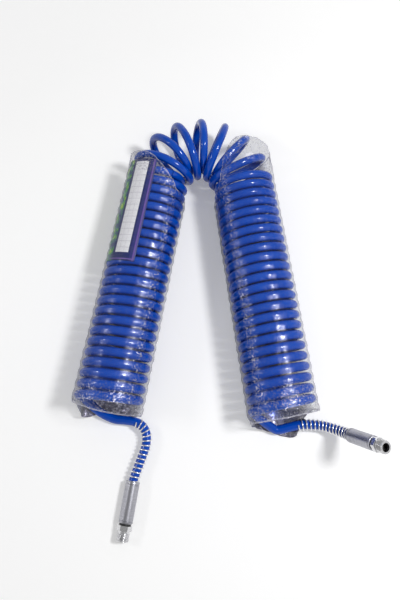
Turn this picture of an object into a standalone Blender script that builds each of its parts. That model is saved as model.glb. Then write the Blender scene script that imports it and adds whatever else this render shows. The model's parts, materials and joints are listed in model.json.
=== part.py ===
"""A recoil air hose as it is sold: one blue tube wound in a long coil, folded into a U and held by two
clear film sleeves, with a spring guard, a crimped ferrule and a swivelling male adaptor on each end.

Metres, +Z up. The hose lies on the ground: the bend is at the far end (+Y), the fittings at the near end.
The U is laid out round the centre of its bend, and moved at the end so that the origin is under the
middle of the whole part.
"""

import math

import bmesh
import bpy
from mathutils import Matrix, Vector

# Tube
tube_od = 0.012
tube_bore = 0.008
joint_gap = 0.0003  # between the faces of two stretches of tube

# Coil: it sags a little as it lies, so its turns are wider than they are tall
coil_width = 0.094
coil_height = 0.084
turn_pitch = 0.0141
left_turns = 27.102  # turns from the middle of the bend to the end of each leg
right_turns = 27.398
winding_phase = math.radians(36.7)  # where the turn in the middle of the bend starts

# Bend
bend_radius = 0.0657  # of the coil's axis
leg_splay = math.radians(9.0)  # each leg's lean away from straight back
fan_step = math.radians(21.6)  # between the loops of the bend
fan_stagger = 0.0054  # loops lie in turn nearer to and further from the centre, where they crowd
fan_fade = 1.3  # turns over which the stagger dies away in a leg

# Film sleeves and the header card under the left one
film_wall = 0.0004
film_clearance = 0.0009
film_sides = 28
left_film_reach = 0.028  # past the start of the bend, on the outer side
right_film_reach = 0.056
film_slit = 0.022  # the inner side is open from here on
film_tail = 0.008  # past the last turn
card_length = 0.160
card_reach = 0.014  # past the start of the bend
card_wall = 0.0003
card_lift = 0.0003  # off the coil
card_from = math.radians(-18.0)  # round the leg, from its outer side
card_to = math.radians(88.0)  # to just short of its top
card_steps = 12

# Spring guards
guard_wire = 0.002
guard_fit = 0.0002  # wire to tube
guard_turns = 15
guard_points = 10  # points in one turn of wire

# Ferrule, and the mouth that the guard ends in
ferrule_od = 0.0188
ferrule_length = 0.050
ferrule_fit = 0.0003  # ferrule to tube
ferrule_mouth = 0.0072
mouth_fit = 0.00025  # guard to mouth
ferrule_edge = 0.0007
ferrule_groove = 0.0004
ferrule_groove_width = 0.0012
ferrule_groove_inset = 0.0026
end_flange = 0.003

# Barbed stem
stem_bore = 0.0052
barb_fit = 0.0003  # barb to tube bore
barb_depth = 0.0006
barb_pitch = 0.0055
barb_count = 5
stem_collar = 0.003  # length of the collar that the end flange holds
stem_clearance = 0.0003
spigot_od = 0.0092
spigot_length = 0.0125

# Swivelling adaptor: hexagon and parallel pipe thread, 3/8 inch
hex_flats = 0.017
hex_length = 0.0062
hex_chamfer = 0.0008
thread_od = 0.01666
thread_length = 0.0108
thread_relief = 0.0016
relief_depth = 0.0010
adaptor_bore = 0.0078
adaptor_cone = 0.0108  # mouth of the sealing cone
cone_depth = 0.0022
adaptor_wall_edge = 0.0008
washer_wall = 0.0021  # black washer between ferrule and hexagon
washer_od = 0.0156
washer_gap = 0.00025  # on each face of it
spigot_clearance = 0.00025
ring_wire = 0.0011  # retaining ring
ring_clearance = 0.00008
seal_wire = 0.0012
ring_place = 0.0030  # into the adaptor
seal_place = 0.0066

# Sides of round pieces
tube_sides = 6
tail_sides = 10
bore_sides = 8
turned_sides = 30
leg_turn_points = 8
fan_turn_points = 10
tail_step = 0.006  # between the points of a tail

# The tails: how far each leaves its coil in the next fifth of a turn, and then its route over the ground
floor_height = tube_od / 2 + film_wall + film_clearance
left_leave = 0.013
left_route = (
    (-0.1120, -0.3369, 0.0070),
    (-0.0965, -0.3384, 0.0078),
    (-0.0830, -0.3400, 0.0087),
    (-0.0717, -0.3455, 0.0090),
    (-0.0656, -0.3560, 0.0090),
    (-0.0655, -0.3690, 0.0090),
    (-0.0692, -0.3820, 0.0091),
    (-0.0742, -0.3960, 0.0093),
)
left_mouth = Vector((-0.0803, -0.4145, 0.0095))
left_heading = Vector((-0.1363, -1.0, 0.0)).normalized()
right_leave = 0.021
right_route = (
    (0.1160, -0.3462, 0.0074),
    (0.1300, -0.3428, 0.0080),
    (0.1439, -0.3396, 0.0086),
    (0.1570, -0.3386, 0.0089),
    (0.1736, -0.3393, 0.0099),
    (0.1827, -0.3410, 0.0124),
    (0.1909, -0.3434, 0.0169),
    (0.1980, -0.3462, 0.0231),
    (0.2036, -0.3490, 0.0307),
)
right_mouth = Vector((0.2077, -0.3513, 0.0394))
right_heading = Vector((0.3590, -0.1910, 0.9135)).normalized()
left_guard_start = 0.082  # back along the tail from the mouth of the ferrule
right_guard_start = 0.080

coil_reach = (coil_width - tube_od) / 2  # the winding's own radii, at the middle of the tube
coil_rise = (coil_height - tube_od) / 2
coil_middle = floor_height + coil_rise
fan_turns = (math.pi - 2 * leg_splay) / fan_step
tube_fit_od = tube_od + 2 * ferrule_fit
tube_inside_ferrule = ferrule_length - end_flange - stem_collar - 3 * stem_clearance
guard_radius = (tube_od / 2 + guard_fit + guard_wire / 2) / math.cos(math.pi / guard_points)
guard_od = 2 * guard_radius + guard_wire
swivel_gap = washer_wall + 2 * washer_gap
socket_radius = spigot_od / 2 + spigot_clearance


# ---------------------------------------------------------------- the winding


def eased_turns(turn):
    """The turns that have been spread to the fan's spacing, eased over the turn where a leg begins."""
    edge = fan_turns / 2 - 0.5
    past = min(max(abs(turn) - edge, 0.0), 1.0)
    spread = min(abs(turn), edge) + past - past**3 + past**4 / 2
    return math.copysign(spread, turn)


def axis_frame(turn):
    """Middle of the coil at this turn, and the direction away from the inside of the U."""
    along = turn_pitch * turn + (bend_radius * fan_step - turn_pitch) * eased_turns(turn)
    half = bend_radius * (math.pi / 2 - leg_splay)
    angle = min(max(along, -half), half) / bend_radius
    outward = Vector((math.sin(angle), math.cos(angle), 0))
    onward = Vector((math.cos(angle), -math.sin(angle), 0))
    straight = along - angle * bend_radius
    return outward * bend_radius + onward * straight, outward


def winding(turn):
    """Middle of the tube. A turn starts on the outer side and goes over the top to the inner side."""
    centre, outward = axis_frame(turn)
    around = 2 * math.pi * turn + winding_phase
    fade = min(max((fan_turns / 2 - abs(turn)) / fan_fade + 0.9, 0.0), 1.0)
    stagger = fan_stagger * math.sin(around / 2) ** 3 * fade * fade * (3 - 2 * fade)
    sideways = coil_reach * math.cos(around) + stagger
    return centre + outward * sideways + Vector((0, 0, coil_middle + coil_rise * math.sin(around)))


def joint_at(turn):
    """A straight run of two tube diameters across this turn: its two ends and its middle."""
    half = run_turns()
    before, after = winding(turn - half), winding(turn + half)
    return before, (before + after) / 2, after


def run_turns():
    """The part of a turn that one tube diameter takes."""
    return tube_od / (math.pi * (coil_reach + coil_rise))


def wound_points(start, end, per_turn):
    """Points of the winding between two joints, whose ends run straight for one tube diameter.

    The points of every turn lie at the same angles round the coil, so that turns nest like real ones.
    """
    _, first, first_run = joint_at(start)
    last_run, last, _ = joint_at(end)
    lead = run_turns() + 0.3 / per_turn
    phase = winding_phase / (2 * math.pi)
    from_step = math.ceil((start + lead + phase) * per_turn)
    to_step = math.floor((end - lead + phase) * per_turn)
    inner = [winding(step / per_turn - phase) for step in range(from_step, to_step + 1)]
    gap = (first_run - first).normalized() * joint_gap / 2
    back = (last_run - last).normalized() * joint_gap / 2
    return [first + gap, first_run, *inner, last_run, last + back]


def smooth_route(before, points, after, step):
    """Points at even steps along a smooth curve through the given ones, whose neighbours set its ends."""
    around = [before, *points, after]
    fine = []
    for previous, start, end, following in zip(around, around[1:], around[2:], around[3:]):
        for i in range(24):
            t = i / 24
            pull = (end - previous) * t + (2 * previous - 5 * start + 4 * end - following) * t**2
            fine.append(start + (pull + (3 * start - previous - 3 * end + following) * t**3) / 2)
    fine.append(points[-1])
    length = path_lengths(fine)[-1]
    count = max(round(length / step), 1)
    return points_at(fine, [length * i / count for i in range(count + 1)])


def path_lengths(points):
    lengths = [0.0]
    for a, b in zip(points, points[1:]):
        lengths.append(lengths[-1] + (b - a).length)
    return lengths


def points_at(points, places):
    """Points this far along a line of straight stretches."""
    lengths = path_lengths(points)
    found, at = [], 0
    for place in places:
        while at < len(points) - 2 and lengths[at + 1] < place:
            at += 1
        share = (place - lengths[at]) / (lengths[at + 1] - lengths[at])
        found.append(points[at].lerp(points[at + 1], min(max(share, 0.0), 1.0)))
    return found


def least_gap(points, diameter):
    """Smallest gap between stretches of one tube that aren't neighbours along it."""
    lengths = path_lengths(points)
    middles = [(a + b) / 2 for a, b in zip(points, points[1:])]
    least = math.inf
    for i, (a, b) in enumerate(zip(points, points[1:])):
        for j in range(i + 1, len(middles)):
            if lengths[j] - lengths[i + 1] < 3 * diameter:
                continue
            if (middles[j] - middles[i]).length > 5 * diameter:
                continue
            least = min(least, segment_distance(a, b, points[j], points[j + 1]))
    return least - diameter


def segment_distance(a, b, c, d):
    """Distance between two short segments, by alternating the nearest points."""
    near = (a + b) / 2
    for _ in range(6):
        other = nearest_on(c, d, near)
        near = nearest_on(a, b, other)
    return (near - nearest_on(c, d, near)).length


def nearest_on(start, end, point):
    run = end - start
    share = (point - start).dot(run) / run.length_squared
    return start + run * min(max(share, 0.0), 1.0)


# ---------------------------------------------------------------- materials and objects


def make_material(name, color, roughness, metallic=0.0, alpha=1.0):
    material = bpy.data.materials.new(name)
    material.use_nodes = True
    shader = material.node_tree.nodes["Principled BSDF"]
    shader.inputs["Base Color"].default_value = (*color, 1.0)
    shader.inputs["Roughness"].default_value = roughness
    shader.inputs["Metallic"].default_value = metallic
    shader.inputs["Alpha"].default_value = alpha
    material.diffuse_color = (*color, alpha)
    return material


def add_object(name, data, material, parent):
    piece = bpy.data.objects.new(name, data)
    piece.data.materials.append(material)
    bpy.context.scene.collection.objects.link(piece)
    piece.parent = parent
    return piece


def add_anchor(name, place, parent=None, heading=None):
    """An empty. Its own +Z points along the heading."""
    anchor = bpy.data.objects.new(name, None)
    bpy.context.scene.collection.objects.link(anchor)
    anchor.parent = parent
    anchor.location = place
    if heading is not None:
        anchor.rotation_euler = heading.to_track_quat("Z", "Y").to_euler()
    return anchor


def tube_curve(name, points, radius, sides):
    """A round tube of 6, 8, 10 or 12 sides along the points, with closed ends."""
    curve = bpy.data.curves.new(name, "CURVE")
    curve.dimensions = "3D"
    curve.bevel_depth = radius
    curve.bevel_resolution = sides // 2 - 2
    curve.use_fill_caps = True
    spline = curve.splines.new("POLY")
    spline.points.add(len(points) - 1)
    for place, point in zip(spline.points, points):
        place.co = (*point, 1.0)
    return curve


def tube_mesh(name, points, radius, sides):
    """The same tube as a mesh, for a piece that is cut or that cuts."""
    curve = tube_curve(name, points, radius, sides)
    guide = bpy.data.objects.new(name + "_guide", curve)
    bpy.context.scene.collection.objects.link(guide)
    bpy.context.view_layer.update()
    evaluated = guide.evaluated_get(bpy.context.evaluated_depsgraph_get())
    mesh = bpy.data.meshes.new_from_object(evaluated)
    bpy.data.objects.remove(guide)
    mesh.materials.clear()
    mesh.name = name
    shell = bmesh.new()
    shell.from_mesh(mesh)
    bmesh.ops.remove_doubles(shell, verts=shell.verts, dist=1e-6)
    bmesh.ops.recalc_face_normals(shell, faces=shell.faces)
    shell.to_mesh(mesh)
    shell.free()
    return mesh


def cut(piece, cutter_mesh, parent):
    cutter = bpy.data.objects.new(cutter_mesh.name, cutter_mesh)
    bpy.context.scene.collection.objects.link(cutter)
    cutter.parent = parent
    cutter.hide_render = True
    cutter.display_type = "WIRE"
    modifier = piece.modifiers.new(cutter.name, "BOOLEAN")
    modifier.operation = "DIFFERENCE"
    modifier.object = cutter
    modifier.solver = "EXACT"
    return cutter


def turned_mesh(name, profile, sides=turned_sides):
    """A closed outline of (radius, height) points turned round Z."""
    shape = bmesh.new()
    ring = [shape.verts.new((radius, 0, height)) for radius, height in profile]
    edges = [shape.edges.new((a, b)) for a, b in zip(ring, ring[1:] + ring[:1])]
    bmesh.ops.spin(
        shape, geom=ring + edges, cent=(0, 0, 0), axis=(0, 0, 1),
        angle=2 * math.pi, steps=sides, use_merge=True,
    )
    bmesh.ops.remove_doubles(shape, verts=shape.verts, dist=1e-6)
    bmesh.ops.recalc_face_normals(shape, faces=shape.faces)
    mesh = bpy.data.meshes.new(name)
    shape.to_mesh(mesh)
    shape.free()
    mesh.shade_smooth()
    mesh.set_sharp_from_angle(angle=math.radians(35))
    return mesh


# ---------------------------------------------------------------- hose


def add_hose(parent, material):
    """The coil of each leg and the fan of loops between them, as one unbroken line of tube."""
    bend_start, bend_end = -fan_turns / 2, fan_turns / 2
    stretches = (
        ("hose_coil_left", -left_turns, bend_start, leg_turn_points),
        ("hose_bend", bend_start, bend_end, fan_turn_points),
        ("hose_coil_right", bend_end, right_turns, leg_turn_points),
    )
    for name, start, end, per_turn in stretches:
        points = wound_points(start, end, per_turn)
        add_object(name, tube_curve(name, points, tube_od / 2, tube_sides), material, parent)
        print(f"{name}: least gap to itself {least_gap(points, tube_od) * 1000:.2f} mm")


def tail_points(turn, towards, leave, route, mouth, heading):
    """The free tube from the end of a leg's winding to its end inside the ferrule.

    It goes on as the winding does for a fifth of a turn, leaving the last turn as it goes.
    """
    before, middle, after = joint_at(turn)
    run = after if towards > 0 else before
    onward = (axis_frame(turn + towards)[0] - axis_frame(turn)[0]).normalized()
    path = [run]
    for share in (0.12, 0.2):
        path.append(winding(turn + towards * share) + onward * leave * (share / 0.2) ** 2)
    path += [*[Vector(point) for point in route], mouth]
    gap = (run - middle).normalized() * joint_gap / 2
    free = smooth_route(middle, path, mouth + heading * 0.012, tail_step)
    return [middle + gap, *free, mouth + heading * tube_inside_ferrule]


def add_tail(side, points, parent, material):
    """A tail has its bore, because the barbed stem sits in it."""
    name = f"hose_tail_{side}"
    tail = add_object(name, tube_mesh(name, points, tube_od / 2, tail_sides), material, parent)
    past = (points[0] - points[1]).normalized() * joint_gap
    end = (points[-1] - points[-2]).normalized() * joint_gap
    bore = [points[0] + past, *points[1:-1], points[-1] + end]
    corner = tube_bore / 2 / math.cos(math.pi / bore_sides)
    cut(tail, tube_mesh(f"bore_{side}", bore, corner, bore_sides), parent)


# ---------------------------------------------------------------- film and card


def leg_matrix(side):
    """Local frame of a leg where the bend begins: X to the right, Y towards the bend, Z up."""
    out = -1 if side == "left" else 1
    onward = Vector((-out * math.sin(leg_splay), math.cos(leg_splay), 0))
    right = Vector((onward.y, -onward.x, 0))
    place = right * out * bend_radius + Vector((0, 0, coil_middle))
    turned = Matrix((right, onward, (0, 0, 1))).transposed().to_4x4()
    return Matrix.Translation(place) @ turned


def oval(offset, angle):
    """A point this far outside the coil, square to its oval outline."""
    wide, tall = coil_width / 2 + offset, coil_height / 2 + offset
    return wide * math.cos(angle), tall * math.sin(angle)


def oval_around(offset, sides):
    """Corners of a polygon that stays outside the oval, with one flat side down."""
    grow = 1 / math.cos(math.pi / sides)
    corners = []
    for i in range(sides):
        x, z = oval(offset, 2 * math.pi * (i + 0.5) / sides - math.pi / 2)
        corners.append((x * grow, z * grow))
    return corners


def loft_mesh(name, rings, around=True):
    """A closed body from rings of points: it goes round like a picture frame, or it has two flat ends."""
    shape = bmesh.new()
    made = [[shape.verts.new(point) for point in ring] for ring in rings]
    following_rings = made[1:] + made[:1] if around else made[1:]
    for ring, following in zip(made, following_rings):
        for i in range(len(ring)):
            j = (i + 1) % len(ring)
            shape.faces.new((ring[i], ring[j], following[j], following[i]))
    if not around:
        shape.faces.new(made[0][::-1])
        shape.faces.new(made[-1])
    if shape.calc_volume(signed=True) < 0:
        bmesh.ops.reverse_faces(shape, faces=shape.faces)
    mesh = bpy.data.meshes.new(name)
    shape.to_mesh(mesh)
    shape.free()
    return mesh


def sleeve_mesh(name, near, far):
    """A thin open sleeve from near to far along a leg's Y."""
    inside, outside = film_clearance, film_clearance + film_wall
    rings = []
    for offset, y in ((inside, near), (inside, far), (outside, far), (outside, near)):
        rings.append([(x, y, z) for x, z in oval_around(offset, film_sides)])
    return loft_mesh(name, rings)


def box_mesh(name, low, high):
    shape = bmesh.new()
    size = Vector(high) - Vector(low)
    middle = (Vector(high) + Vector(low)) / 2
    bmesh.ops.create_cube(shape, size=1, matrix=Matrix.Translation(middle) @ Matrix.Diagonal((*size, 1)))
    mesh = bpy.data.meshes.new(name)
    shape.to_mesh(mesh)
    shape.free()
    return mesh


def leg_length(turns):
    """From where the bend begins to the leg's last turn."""
    along = turn_pitch * turns + (bend_radius * fan_step - turn_pitch) * eased_turns(turns)
    return along - bend_radius * (math.pi / 2 - leg_splay)


def add_film(side, turns, reach, parent, material):
    """The sleeve goes on past the start of the bend, slit open on the side where the loops leave it."""
    frame = add_anchor(f"{side}_leg_frame", (0, 0, 0), parent)
    frame.matrix_local = leg_matrix(side)
    name = f"film_sleeve_{side}"
    near = -leg_length(turns) - film_tail
    sleeve = add_object(name, sleeve_mesh(name, near, reach), material, frame)
    span = coil_width
    start, end = (0, span) if side == "left" else (-span, 0)
    slit = box_mesh(f"slit_{side}", (start, -film_slit, -span), (end, reach + span, span))
    cut(sleeve, slit, frame)
    return frame


def add_card(frame, reach, material):
    """A plain printed card bent round the outer side of the left leg, under the film."""
    rings = []
    for i in range(card_steps + 1):
        angle = card_from + (card_to - card_from) * i / card_steps
        ring = []
        for offset, y in ((0, reach - card_length), (0, reach), (card_wall, reach), (card_wall, reach - card_length)):
            x, z = oval(card_lift + offset, angle)
            ring.append((-x, y, z))
        rings.append(ring)
    add_object("label_card", loft_mesh("label_card", rings, around=False), material, frame)


# ---------------------------------------------------------------- end fittings


def guard_wire_points(tail, start, end):
    """Wire wound round the tail, between two places along it."""
    steps = guard_turns * guard_points
    places = [start + (end - start) * i / steps for i in range(steps + 1)]
    middles = points_at(tail, places)
    behind = points_at(tail, [place - tail_step / 2 for place in places])
    ahead = points_at(tail, [place + tail_step / 2 for place in places])
    across = Vector((0, 0, 1))
    wire = []
    for i, middle in enumerate(middles):
        along = (ahead[i] - behind[i]).normalized()
        across = (across - along * across.dot(along)).normalized()
        turn = 2 * math.pi * i / guard_points
        offset = across * math.cos(turn) + along.cross(across) * math.sin(turn)
        wire.append(middle + offset * guard_radius)
    return wire


def add_guard(side, tail, length, parent, material):
    name = f"guard_spring_{side}"
    mouth = path_lengths(tail)[-1] - tube_inside_ferrule
    inside = ferrule_mouth - mouth_fit - guard_wire / 2
    points = guard_wire_points(tail, mouth - length, mouth + inside)
    add_object(name, tube_curve(name, points, guard_wire / 2, 6), material, parent)
    print(f"{name}: least gap to itself {least_gap(points, guard_wire) * 1000:.2f} mm")


def ferrule_profile():
    """From the mouth (z = 0) to the face that the adaptor turns against."""
    outside = ferrule_od / 2
    bore = tube_fit_od / 2
    mouth = guard_od / 2 + mouth_fit
    neck = socket_radius
    profile = [(mouth, 0), (outside - ferrule_edge, 0), (outside, ferrule_edge)]
    for place in (ferrule_groove_inset, ferrule_length - ferrule_groove_inset - ferrule_groove_width):
        profile += [
            (outside, place),
            (outside - ferrule_groove, place + ferrule_groove_width * 0.3),
            (outside - ferrule_groove, place + ferrule_groove_width * 0.7),
            (outside, place + ferrule_groove_width),
        ]
    profile += [(outside, ferrule_length - ferrule_edge), (outside - ferrule_edge, ferrule_length)]
    profile += [(neck, ferrule_length), (neck, ferrule_length - end_flange)]
    profile += [(bore, ferrule_length - end_flange), (bore, ferrule_mouth), (mouth, ferrule_mouth)]
    return profile


def stem_profile():
    """Barbs in the tube, a collar behind the end flange, and a spigot that carries the adaptor."""
    bore = stem_bore / 2
    barb = tube_bore / 2 - barb_fit
    root = barb - barb_depth
    collar_front = ferrule_length - end_flange - stem_clearance
    collar_back = collar_front - stem_collar
    collar = tube_fit_od / 2 - ferrule_fit
    spigot = spigot_od / 2
    spigot_end = ferrule_length + spigot_length
    barbs_start = collar_back - 0.001 - barb_count * barb_pitch
    profile = [(bore, barbs_start), (root, barbs_start)]
    for i in range(barb_count):
        place = barbs_start + i * barb_pitch
        profile += [(barb, place + barb_pitch * 0.75), (root, place + barb_pitch)]
    profile += [(root, collar_back), (collar, collar_back), (collar, collar_front), (spigot, collar_front)]
    for place, wire, radius in rings():
        depth = radius - wire / 2 - ring_clearance
        half = wire / 2 + spigot_clearance
        profile += [(spigot, place - half), (depth, place - half), (depth, place + half), (spigot, place + half)]
    profile += [(spigot, spigot_end), (bore, spigot_end)]
    return profile


def rings():
    """Place, wire and middle radius of the retaining ring, which is half in each piece, and of the seal."""
    start = ferrule_length + swivel_gap
    ring = (start + ring_place, ring_wire, (spigot_od / 2 + socket_radius) / 2)
    seal = (start + seal_place, seal_wire, socket_radius - seal_wire / 2 - ring_clearance)
    return ring, seal


def ring_profile(place, wire, radius, corners=6):
    points = []
    for i in range(corners):
        angle = 2 * math.pi * (i + 0.5) / corners
        points.append((radius + wire / 2 * math.cos(angle), place + wire / 2 * math.sin(angle)))
    return points


def washer_profile():
    near, far = ferrule_length + washer_gap, ferrule_length + washer_gap + washer_wall
    return [(socket_radius, near), (washer_od / 2, near), (washer_od / 2, far), (socket_radius, far)]


def adaptor_profile():
    """Turned form of the adaptor. Its hexagon is cut from the first, widest part."""
    start = ferrule_length + swivel_gap
    hex_end = start + hex_length
    thread_start = hex_end + thread_relief
    end = thread_start + thread_length
    corner = hex_flats / math.cos(math.pi / 6) / 2 + 0.0003  # wider than the hexagon cut from it
    socket = socket_radius
    socket_end = ferrule_length + spigot_length + 0.0004
    thread = thread_od / 2
    ring_middle, wire, ring_radius = rings()[0]
    groove = ring_radius + wire / 2 + ring_clearance
    half = wire / 2 + spigot_clearance
    profile = [(socket, start), (corner - hex_chamfer, start), (corner, start + hex_chamfer * 0.58)]
    profile += [(corner, hex_end - hex_chamfer * 0.58), (corner - hex_chamfer, hex_end)]
    profile += [(thread - relief_depth, hex_end), (thread - relief_depth, thread_start - relief_depth * 0.6)]
    profile += [(thread, thread_start), (thread, end - adaptor_wall_edge), (thread - adaptor_wall_edge, end)]
    profile += [(adaptor_cone / 2, end), (adaptor_bore / 2, end - cone_depth), (adaptor_bore / 2, socket_end)]
    profile += [(socket, socket_end), (socket, ring_middle + half), (groove, ring_middle + half)]
    profile += [(groove, ring_middle - half), (socket, ring_middle - half)]
    return profile


def hex_cutter(name):
    """Everything outside the hexagon, over the hexagon's length alone."""
    low = ferrule_length + swivel_gap - 0.0002
    high = low + hex_length + 0.0004
    rings = []
    for flats, height in ((True, low), (True, high), (False, high), (False, low)):
        ring = []
        for i in range(24):
            angle = 2 * math.pi * i / 24
            radius = 0.0125
            if flats:
                radius = hex_flats / 2 / math.cos(angle % (math.pi / 3) - math.pi / 6)
            ring.append((radius * math.cos(angle), radius * math.sin(angle), height))
        rings.append(ring)
    return loft_mesh(name, rings)


def add_fitting(side, mouth, heading, parent, materials):
    """The stack of turned pieces on one end of the hose, along its own Z from the ferrule's mouth."""
    axis = add_anchor(f"{side}_fitting_axis", mouth, parent, heading)
    ring, seal = rings()
    pieces = (
        ("ferrule", ferrule_profile(), turned_sides),
        ("barbed_stem", stem_profile(), 20),
        ("thrust_washer", washer_profile(), 24),
        ("retaining_ring", ring_profile(*ring), 20),
        ("swivel_o_ring", ring_profile(*seal), 20),
        ("swivel_adaptor", adaptor_profile(), turned_sides),
    )
    for kind, profile, sides in pieces:
        name = f"{kind}_{side}"
        piece = add_object(name, turned_mesh(name, profile, sides), materials[kind], axis)
    cut(piece, hex_cutter(f"hexagon_{side}"), axis)


def add_leg_end(side, turn, towards, leave, route, mouth, heading, guard_length, parent, materials):
    points = tail_points(turn, towards, leave, route, mouth, heading)
    add_tail(side, points, parent, materials["hose"])
    add_guard(side, points, guard_length, parent, materials["guard"])
    add_fitting(side, mouth, heading, parent, materials)
    print(f"{side} tail: {path_lengths(points)[-1] * 1000:.0f} mm of tube")


def centre_on_origin(root):
    """Moves the part so that the origin is on the ground under the middle of its box."""
    bpy.context.view_layer.update()
    graph = bpy.context.evaluated_depsgraph_get()
    corners = []
    for piece in bpy.context.scene.objects:
        if piece.type == "EMPTY" or piece.hide_render:
            continue
        mesh = piece.evaluated_get(graph).to_mesh()
        corners += [piece.matrix_world @ vertex.co for vertex in mesh.vertices]
    low = Vector(min(corner[axis] for corner in corners) for axis in range(3))
    high = Vector(max(corner[axis] for corner in corners) for axis in range(3))
    root.location = Vector((-(low.x + high.x) / 2, -(low.y + high.y) / 2, -low.z))
    print("moved by", [round(value, 5) for value in root.location])
    print("box", [round(value, 4) for value in high - low])


def report_places(root):
    """The world places that a drawing of the part would give."""
    shift = root.location
    print("fold axis at", [round(v, 5) for v in shift + Vector((0, bend_radius - coil_reach, 0))])
    for side, mouth, heading in (("left", left_mouth, left_heading), ("right", right_mouth, right_heading)):
        start = mouth + heading * (ferrule_length + swivel_gap) + shift
        end = start + heading * (hex_length + thread_relief + thread_length)
        print(f"{side} swivel from", [round(v, 5) for v in start], "to", [round(v, 5) for v in end])
        print(f"{side} swivel heading", [round(v, 5) for v in heading])


def main():
    for old in list(bpy.data.objects):
        bpy.data.objects.remove(old)
    materials = {
        "hose": make_material("hose_blue", (0.01, 0.06, 0.42), 0.22),
        "film": make_material("clear_film", (0.92, 0.94, 0.96), 0.08, alpha=0.25),
        "card": make_material("printed_card", (0.05, 0.09, 0.30), 0.45),
        "guard": make_material("spring_wire", (0.72, 0.73, 0.75), 0.25, 1.0),
        "ferrule": make_material("brushed_ferrule", (0.55, 0.56, 0.58), 0.38, 1.0),
        "barbed_stem": make_material("stem_steel", (0.62, 0.60, 0.55), 0.35, 1.0),
        "swivel_adaptor": make_material("plated_adaptor", (0.48, 0.48, 0.50), 0.28, 1.0),
        "thrust_washer": make_material("washer_black", (0.02, 0.02, 0.02), 0.5),
        "retaining_ring": make_material("ring_steel", (0.40, 0.40, 0.42), 0.35, 1.0),
        "swivel_o_ring": make_material("seal_rubber", (0.02, 0.02, 0.02), 0.6),
    }
    root = add_anchor("hose_root", (0, 0, 0))
    add_hose(root, materials["hose"])
    left_frame = add_film("left", left_turns, left_film_reach, root, materials["film"])
    add_film("right", right_turns, right_film_reach, root, materials["film"])
    add_card(left_frame, card_reach, materials["card"])
    add_leg_end(
        "left", -left_turns, -1, left_leave, left_route, left_mouth, left_heading, left_guard_start, root, materials
    )
    add_leg_end(
        "right", right_turns, 1, right_leave, right_route, right_mouth, right_heading, right_guard_start, root, materials
    )
    centre_on_origin(root)
    report_places(root)


main()
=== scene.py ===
import json
import math

import bmesh
import bpy
from mathutils import Matrix, Vector, kdtree, noise

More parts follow.
